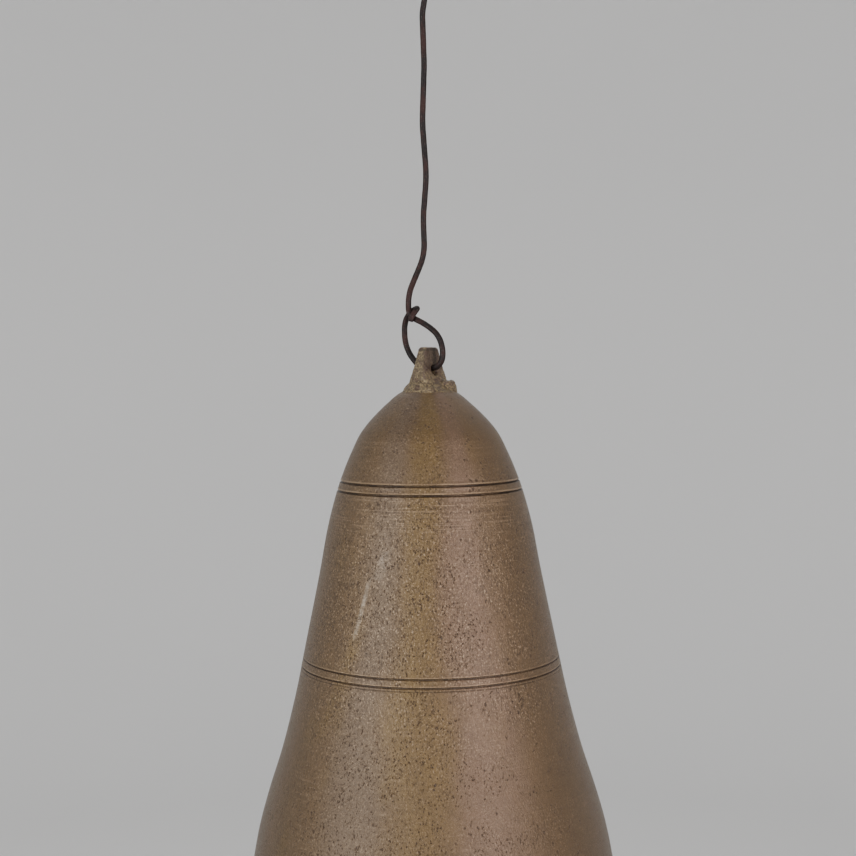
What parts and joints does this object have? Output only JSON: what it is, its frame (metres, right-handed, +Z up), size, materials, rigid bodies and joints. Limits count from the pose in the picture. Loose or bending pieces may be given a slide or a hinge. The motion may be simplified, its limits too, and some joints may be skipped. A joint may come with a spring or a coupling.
{
  "type": "hanging bell",
  "caption": "Tall turned bronze bell with a cast lug, hung from a screw hook on a hand-bent iron wire, with an iron clapper on a link inside.",
  "frame": {"origin": "on the face of the beam, at the axis of the hook's screwed shank, where it goes in", "axes": "+Z up along the screwed shank into the beam, +X along the hole through the bell's lug, so the wire's loop lies in XZ and the hook's bowl in YZ"},
  "size_m": [0.186, 0.186, 0.558],
  "materials": {
    "aged_bronze": "turned bronze gone dull brown, with casting pits",
    "wire_iron": "dark annealed iron wire with a rust bloom",
    "hook_iron": "dull old iron with light rust",
    "staple_iron": "black iron, rusted at the crown",
    "clapper_iron": "forged iron, rusty, rubbed where it strikes"
  },
  "bodies": {
    "hook": {"screw_hook": "hook_iron"},
    "wire": {"hanging_wire": "wire_iron"},
    "bell": {"bell": "aged_bronze", "crown_staple": "staple_iron"},
    "link": {"clapper_link": "clapper_iron"},
    "clapper": {"clapper_rod": "clapper_iron", "clapper_ball": "clapper_iron", "clapper_washer": "clapper_iron"}
  },
  "joints": [
    {"name": "wire_swing", "type": "hinge", "parent": "hook", "child": "wire", "pos_m": [0, 0, -0.0318], "axis": [0, 1, 0], "range_deg": [-75, 75]},
    {"name": "bell_swing", "type": "hinge", "parent": "wire", "child": "bell", "pos_m": [0, 0, -0.24], "axis": [1, 0, 0], "range_deg": [-75, 75]},
    {"name": "link_twist", "type": "hinge", "parent": "bell", "child": "link", "pos_m": [0, 0, -0.276], "axis": [0, 0, 1], "range_deg": [-35, 35]},
    {"name": "clapper_swing", "type": "hinge", "parent": "link", "child": "clapper", "pos_m": [0, 0, -0.28963], "axis": [1, 0, 0], "range_deg": [-18.6, 18.6]}
  ]
}
